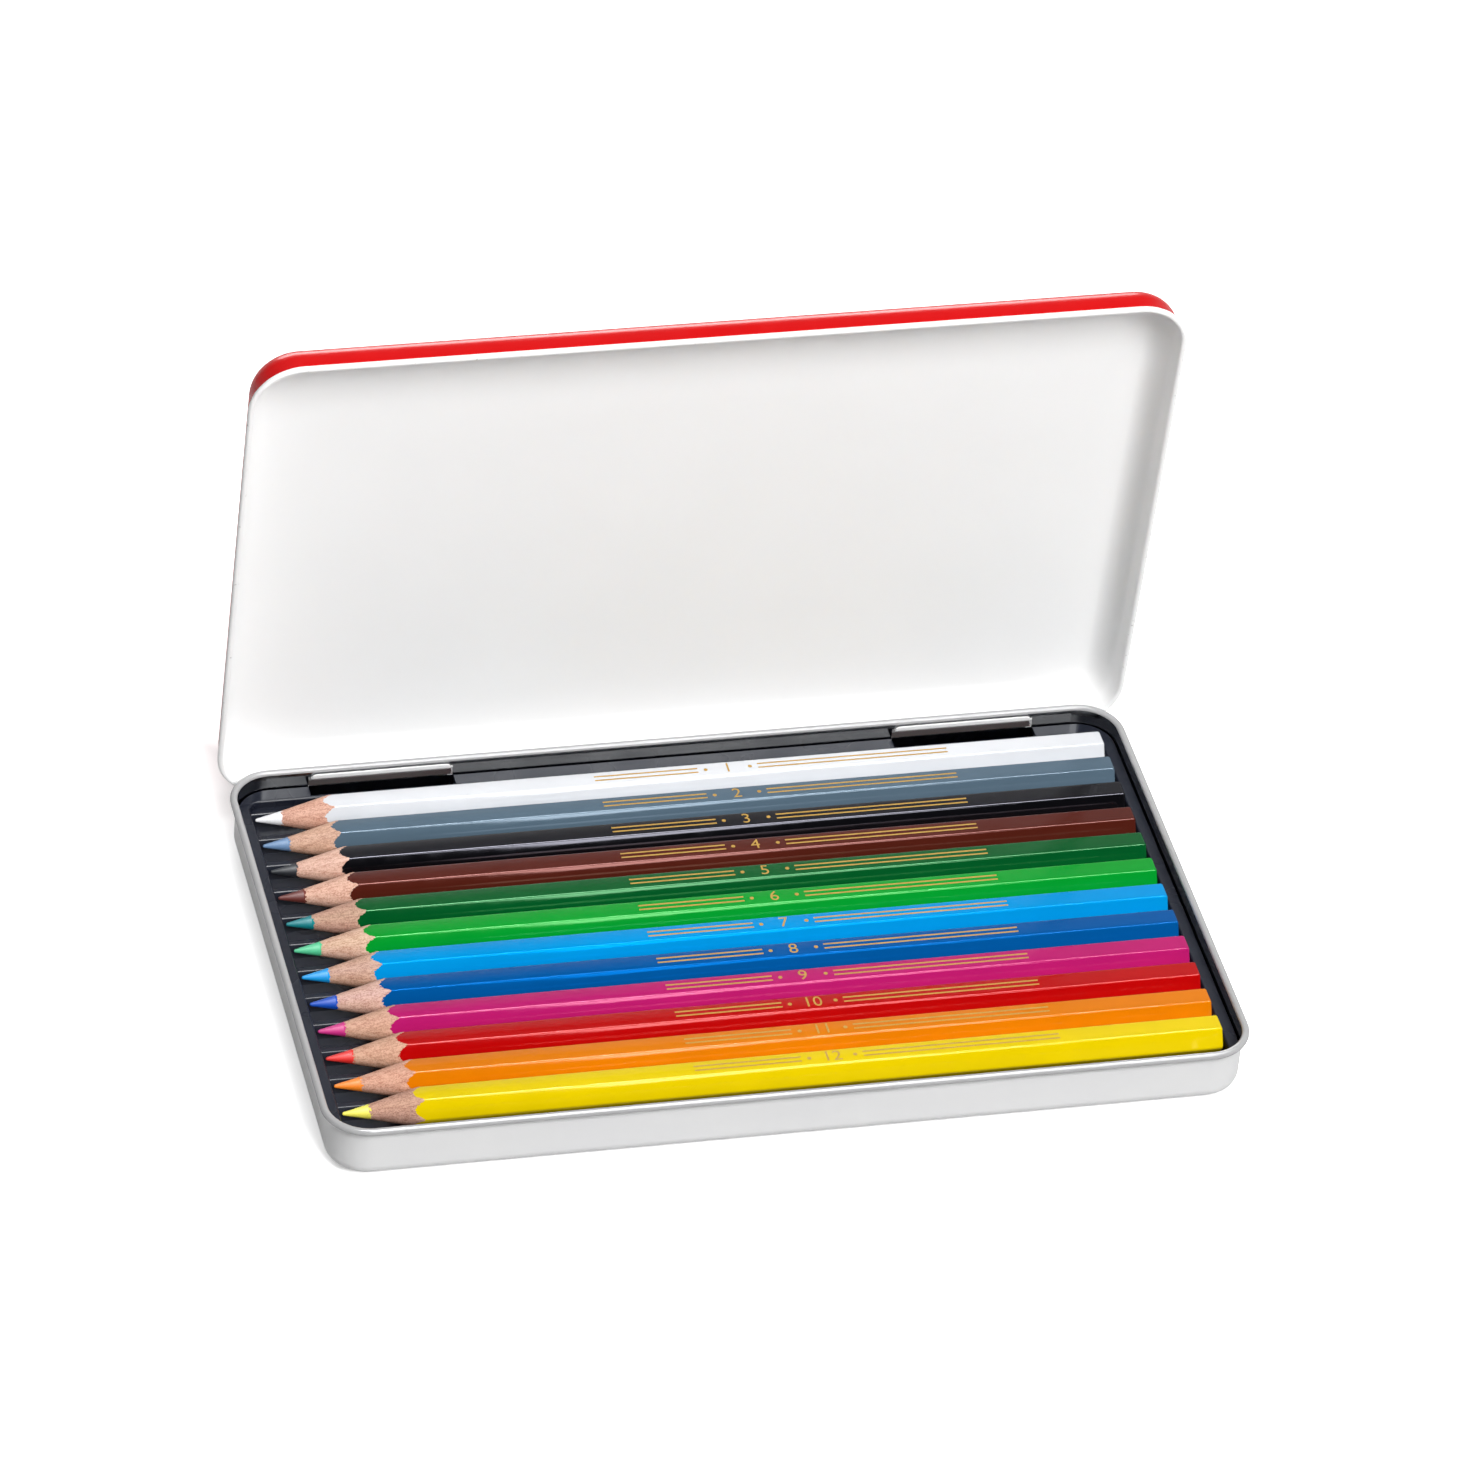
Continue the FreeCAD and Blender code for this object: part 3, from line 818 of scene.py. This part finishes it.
def tongue_faces(bm, half_y, rim_z):
    """Faces of the tongues, inside the line of the lid's wall."""
    wall_end = rim_z + TONGUE_RISE + TONGUE_BEND
    faces = []
    for face in bm.faces:
        centre = face.calc_center_median()
        if centre.z < wall_end and 0 < centre.y < half_y:
            faces.append(face)
    return faces


# Moulded inlay
def off_underside(edge):
    """Whether no face beside an edge looks down."""
    return all(face.normal.z > INLAY_UNDERSIDE for face in edge.link_faces)


def make_inlay(plastic):
    """Inlay with the soft edges of a moulded sheet."""
    bm = bmesh.new()
    bm.from_mesh(frame["nodes"]["inlay_tray"].data)
    bmesh.ops.remove_doubles(bm, verts=bm.verts, dist=MERGE_NEAR)
    upper = [edge for edge in bm.edges if off_underside(edge)]
    bmesh.ops.dissolve_limit(bm, angle_limit=INLAY_FLAT_ANGLE, verts=bm.verts, edges=upper)
    ridges = [edge for edge in bm.edges
              if edge.is_convex and off_underside(edge) and edge.calc_face_angle() > INLAY_SHARP_ANGLE]
    bmesh.ops.bevel(bm, geom=ridges, affect="EDGES", offset=INLAY_SOFT_EDGE, segments=INLAY_SOFT_STEPS,
                    profile=0.5, material=-1, clamp_overlap=True)
    for face in bm.faces:
        face.material_index = 0
    inlay = finished_piece(bm, "inlay_moulding", (plastic,), MOULDING_SMOOTH)
    for polygon in inlay.data.polygons:
        polygon.use_smooth = polygon.area < INLAY_FLAT_AREA
    stand_in(inlay, "tray", "inlay_tray")


# Pencils
def across_x(place):
    """Matrix that stands a flat ring across the X axis, its first corner sideways."""
    turned_ring = Matrix(((0, 0, 1, 0), (0, 1, 0, 0), (-1, 0, 0, 0), (0, 0, 0, 1)))
    return Matrix.Translation(place) @ turned_ring


def hexagon_ring(bm, place):
    """Ring of a six-sided casing with soft corners."""
    bmesh.ops.create_circle(bm, segments=PENCIL_FACES, radius=PENCIL_SIDE, matrix=across_x(place))
    bmesh.ops.bevel(bm, geom=bm.verts[:], affect="VERTICES", offset=PENCIL_EDGE_ROUND,
                    segments=PENCIL_EDGE_STEPS, profile=0.5, material=-1)
    flats = [edge for edge in bm.edges if edge.calc_length() > PENCIL_SIDE / 2]
    bmesh.ops.subdivide_edges(bm, edges=flats, cuts=PENCIL_FLAT_CUTS)
    return bm.edges[:]


def cut_to_cone(ring, apex):
    """Move the vertices of a ring along X onto the sharpener's cone."""
    for vert in verts_of_edges(ring):
        reach = (vert.co - apex).yz.length
        vert.co.x = apex.x + reach / CUT_SLOPE


def narrowed(ring, apex, radius, share):
    """Draw the vertices of a ring in towards a round of the given radius."""
    for vert in verts_of_edges(ring):
        out = vert.co.yz - apex.yz
        wanted = out.length + (radius - out.length) * share
        vert.co.yz = apex.yz + out.normalized() * wanted


def round_end(bm, ring, axis):
    """Round a ring over towards +X at the end of a pencil, and close it."""
    to_axis = Matrix.Translation((0, -axis.y, -axis.z))
    reached = 0.0
    size = 1.0
    for step in range(1, PENCIL_END_STEPS + 1):
        angle = step / PENCIL_END_STEPS * math.pi / 2
        reach = PENCIL_END_ROUND * math.sin(angle)
        ring = pulled(bm, ring, (reach - reached, 0, 0))
        reached = reach
        wanted = 1 - PENCIL_END_ROUND * (1 - math.cos(angle)) / (PENCIL_FLATS / 2)
        shrink = wanted / size
        bmesh.ops.scale(bm, verts=verts_of_edges(ring), vec=(1, shrink, shrink), space=to_axis)
        size = wanted
    bmesh.ops.edgeloop_fill(bm, edges=ring)


def make_casing(colour_name, foot, apex, end_x, bore_end):
    """Casing run to its rounded end, cut to the sharpener's cone and bored for the core."""
    bm = bmesh.new()
    ring = hexagon_ring(bm, foot)
    round_end(bm, pulled(bm, ring, (end_x - PENCIL_END_ROUND - foot.x, 0, 0)), apex)
    cut_to_cone(ring, apex)
    for step in range(CUT_RINGS):
        ring = pulled(bm, ring, (0, 0, 0))
        narrowed(ring, apex, CORE_RADIUS, 1 / (CUT_RINGS - step))
        cut_to_cone(ring, apex)
    shoulder_x = apex.x + CORE_RADIUS / CUT_SLOPE
    ring = pulled(bm, ring, (bore_end - shoulder_x, 0, 0))
    bmesh.ops.edgeloop_fill(bm, edges=ring)
    bmesh.ops.recalc_face_normals(bm, faces=bm.faces)
    body = "pencil_" + colour_name
    casing = finished_piece(bm, body + "_wood", (pencil_casing(colour_name, apex),), CASING_SMOOTH)
    stand_in(casing, body, body + "_casing")


def make_core(colour_name, apex, tip_x, end_x):
    """Core with a small round nose, turned from its outline."""
    bm = bmesh.new()
    shoulder_x = apex.x + CORE_RADIUS / CUT_SLOPE
    tilt = math.atan((CORE_RADIUS - CORE_NOSE) / (shoulder_x - tip_x))
    step = Matrix.Rotation((math.pi / 2 - tilt) / CORE_NOSE_STEPS, 3, "Y")
    vert = bm.verts.new((tip_x - CORE_NOSE, apex.y, apex.z))
    for _ in range(CORE_NOSE_STEPS):
        drawn = bmesh.ops.extrude_vert_indiv(bm, verts=[vert])["verts"]
        bmesh.ops.rotate(bm, verts=drawn, cent=(tip_x, apex.y, apex.z), matrix=step)
        vert = drawn[0]
    vert = drawn_line(bm, vert, Vector((shoulder_x, apex.y, apex.z + CORE_RADIUS)) - vert.co)
    vert = drawn_line(bm, vert, (end_x - shoulder_x, 0, 0))
    drawn_line(bm, vert, (0, 0, -CORE_RADIUS))
    outline = bm.verts[:] + bm.edges[:]
    bmesh.ops.spin(bm, geom=outline, cent=apex, axis=(1, 0, 0), angle=2 * math.pi, steps=CORE_STEPS,
                   use_merge=True)
    bmesh.ops.remove_doubles(bm, verts=bm.verts, dist=CUT_NEAR)
    bmesh.ops.recalc_face_normals(bm, faces=bm.faces)
    body = "pencil_" + colour_name
    core = finished_piece(bm, body + "_core", (pencil_core(colour_name),), SHEET_SMOOTH)
    stand_in(core, body, body + "_lead")


def foil_bar(bm, start_x, end_x, y, z, width):
    """Flat bar of foil along a pencil."""
    middle = Vector(((start_x + end_x) / 2, y, z))
    size = Matrix.Diagonal(((end_x - start_x) / 2, width / 2, 1, 1))
    place = Matrix.Translation(middle) @ size
    bmesh.ops.create_grid(bm, x_segments=1, y_segments=1, size=1, matrix=place)


def foil_dot(bm, x, y, z):
    """Flat dot of foil."""
    bmesh.ops.create_circle(bm, cap_ends=True, segments=DOT_STEPS, radius=DOT_RADIUS,
                            matrix=Matrix.Translation((x, y, z)))


def foil_number(bm, number, x, y, z):
    """Plain number, added as a flat mesh."""
    words = bpy.data.curves.new("number", "FONT")
    words.body = str(number)
    words.align_x = "CENTER"
    words.align_y = "CENTER"
    words.size = NUMBER_HEIGHT / NUMBER_SHARE_OF_FONT
    words.resolution_u = NUMBER_CURVE_STEPS
    lettering = bpy.data.objects.new("number", words)
    bpy.context.scene.collection.objects.link(lettering)
    bpy.context.view_layer.update()
    mesh = bpy.data.meshes.new_from_object(lettering)
    mesh.transform(Matrix.Translation((x, y, z)))
    bm.from_mesh(mesh)
    bpy.data.objects.remove(lettering)
    bpy.data.curves.remove(words)
    bpy.data.meshes.remove(mesh)


def make_foil(colour_name, number, y, top_z, foil):
    """Stamped marks: a number between two pairs of thin rules that end in dots."""
    bm = bmesh.new()
    z = top_z + FOIL_LIFT
    left_end = NUMBER_PLACE - NUMBER_ROOM
    right_start = NUMBER_PLACE + NUMBER_ROOM
    for start_x, end_x in ((FOIL_START, left_end - DOT_SPACE), (right_start + DOT_SPACE, FOIL_END)):
        for side in (-RULE_GAP, RULE_GAP):
            foil_bar(bm, start_x, end_x, y + side / 2, z, RULE_WIDTH)
    foil_dot(bm, left_end, y, z)
    foil_dot(bm, right_start, y, z)
    foil_number(bm, number, NUMBER_PLACE, y, z)
    marks = finished_piece(bm, "pencil_" + colour_name + "_foil", (foil,), MOULDING_SMOOTH)
    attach(marks, "pencil_" + colour_name)


def make_pencils():
    """Casing, core and foil of each pencil, placed by its solids."""
    foil = gold_foil()
    for number, colour_name in enumerate(PENCIL_COLOURS, 1):
        low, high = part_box("pencil_" + colour_name + "_casing")
        core_low, core_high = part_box("pencil_" + colour_name + "_lead")
        middle = (low + high) / 2
        apex = Vector((core_low.x - CUT_BLUNTED, middle.y, middle.z))
        # The first ring stands clear of the cone that it is cut back to
        foot = Vector((apex.x + 2 * PENCIL_SIDE / CUT_SLOPE, middle.y, middle.z))
        make_casing(colour_name, foot, apex, high.x, core_high.x)
        make_core(colour_name, apex, core_low.x, core_high.x)
        make_foil(colour_name, number, middle.y, high.z, foil)


# Studio
def clear_of_tin(tree):
    """Share of the open floor's tone and glow: none under and just behind the tin, where a shadow is
    painted, all of it past a soft edge.
    """
    apart = node(tree, "SeparateXYZ", {"Vector": surface_place(tree, centre=FLOOR_SHADOW_MIDDLE)})
    outside_x = maths(tree, "SUBTRACT", maths(tree, "ABSOLUTE", apart.outputs["X"], 0), FLOOR_SHADOW_HALF_X)
    outside_y = maths(tree, "SUBTRACT", maths(tree, "ABSOLUTE", apart.outputs["Y"], 0), FLOOR_SHADOW_HALF_Y)
    outside = maths(tree, "MAXIMUM", outside_x, outside_y)
    return between(tree, outside, 0, FLOOR_SHADOW_EDGE, 0, 1)


def make_floor():
    """Pale floor that keeps the shadow, with a shadow painted dark under and behind the tin, and runs out
    into the white background.
    """
    bm = bmesh.new()
    bmesh.ops.create_grid(bm, x_segments=1, y_segments=1, size=FLOOR_HALF)
    material, tree, shader = finish_of("studio_floor")
    path = node(tree, "LightPath")
    seen = path.outputs["Is Camera Ray"]
    mirrored = maths(tree, "MAXIMUM", path.outputs["Is Glossy Ray"], path.outputs["Is Transmission Ray"])
    shader.inputs["Roughness"].default_value = FLOOR_ROUGHNESS
    shader.inputs["Specular IOR Level"].default_value = 0.0
    shader.inputs["Emission Color"].default_value = (1, 1, 1, 1)
    # Painted shadow: under and behind the tin the floor takes a dark tone and loses its glow
    clear = clear_of_tin(tree)
    tone = mixed(tree, clear, FLOOR_SHADOW_TONE, FLOOR_SEEN)
    put(tree, shader.inputs["Base Color"], mixed(tree, seen, FLOOR_BOUNCE, tone))
    mirrored_glow = maths(tree, "MULTIPLY", mirrored, FLOOR_MIRRORED_GLOW)
    glow = maths(tree, "MAXIMUM", maths(tree, "MULTIPLY", seen, FLOOR_GLOW), mirrored_glow)
    put(tree, shader.inputs["Emission Strength"], maths(tree, "MULTIPLY", clear, glow))
    floor = finished_piece(bm, "studio_floor", (material,), MOULDING_SMOOTH)
    floor.location.z = -FLOOR_DROP


def make_world():
    """Dim even fill; the camera and reflections see plain white, but for a dark flag before the pencils."""
    world = bpy.data.worlds.new("studio")
    bpy.context.scene.world = world
    world.use_nodes = True
    tree = world.node_tree
    background = tree.nodes["Background"]
    background.inputs["Color"].default_value = (1, 1, 1, 1)
    path = node(tree, "LightPath")
    ray = node(tree, "TexCoord").outputs["Generated"]
    facing = node(tree, "VectorMath", {0: ray, 1: FLAG_DIRECTION}, operation="DOT_PRODUCT")
    towards_flag = facing.outputs["Value"]
    mirrored = between(tree, towards_flag, FLAG_CLEAR, FLAG_DARK, MIRRORED_WHITE, FLAG_STRENGTH)
    strength = between(tree, path.outputs["Is Glossy Ray"], 0, 1, FILL_STRENGTH, mirrored)
    seen = maths(tree, "MAXIMUM", path.outputs["Is Camera Ray"], path.outputs["Is Transmission Ray"])
    put(tree, background.inputs["Strength"], between(tree, seen, 0, 1, strength, 1.0))


def soft_light(name, place, target, size, watts):
    """Rectangular lamp turned to face a target."""
    lamp = bpy.data.lights.new(name, "AREA")
    lamp.shape = "RECTANGLE"
    lamp.size, lamp.size_y = size
    lamp.energy = watts
    light = bpy.data.objects.new(name, lamp)
    light.location = place
    light.rotation_euler = (Vector(target) - Vector(place)).to_track_quat("-Z", "Y").to_euler()
    light.visible_camera = False
    bpy.context.scene.collection.objects.link(light)
    return light


def make_camera():
    """Camera at the photograph's viewing angle."""
    lens = bpy.data.cameras.new("photo_camera")
    lens.lens = CAMERA_LENS
    lens.sensor_width = CAMERA_SENSOR
    lens.shift_x, lens.shift_y = CAMERA_SHIFT
    lens.clip_end = CAMERA_FAR
    camera = bpy.data.objects.new("photo_camera", lens)
    camera.location = CAMERA_PLACE
    camera.rotation_euler = [math.radians(angle) for angle in CAMERA_TURN]
    bpy.context.scene.collection.objects.link(camera)
    bpy.context.scene.camera = camera


white_tin = lacquered_tin("white_lacquer", TRAY_WHITE, TRAY_SHADE, TRAY_ROUGHNESS, TRAY_SHINE)
white_inside = lacquered_tin("white_lid_lacquer", LID_WHITE, LID_SHADE, LID_ROUGHNESS, LID_SHINE)
red_tin = lacquered_tin("red_lacquer", RED_LACQUER, RED_SHADE, RED_ROUGHNESS, RED_SHINE)
tinplate = bare_tinplate()
# Bead lacquer darkened as painted shade on the tray's curl
shaded_bead_tin = lacquered_tin("shaded_bead_lacquer", BEAD_SHADED_WHITE, BEAD_SHADED_CLOUD, BEAD_ROUGHNESS, BEAD_SHINE)
make_tray(white_tin, tinplate, shaded_bead_tin)
make_lid(red_tin, white_inside, tinplate)
make_inlay(moulded_plastic())
make_pencils()
make_floor()
make_world()
for lamp_name, lamp_values in LAMPS.items():
    soft_light(lamp_name, *lamp_values)
soft_light("glint", *GLINT).visible_diffuse = False
make_camera()
bpy.context.scene.view_settings.view_transform = "Standard"
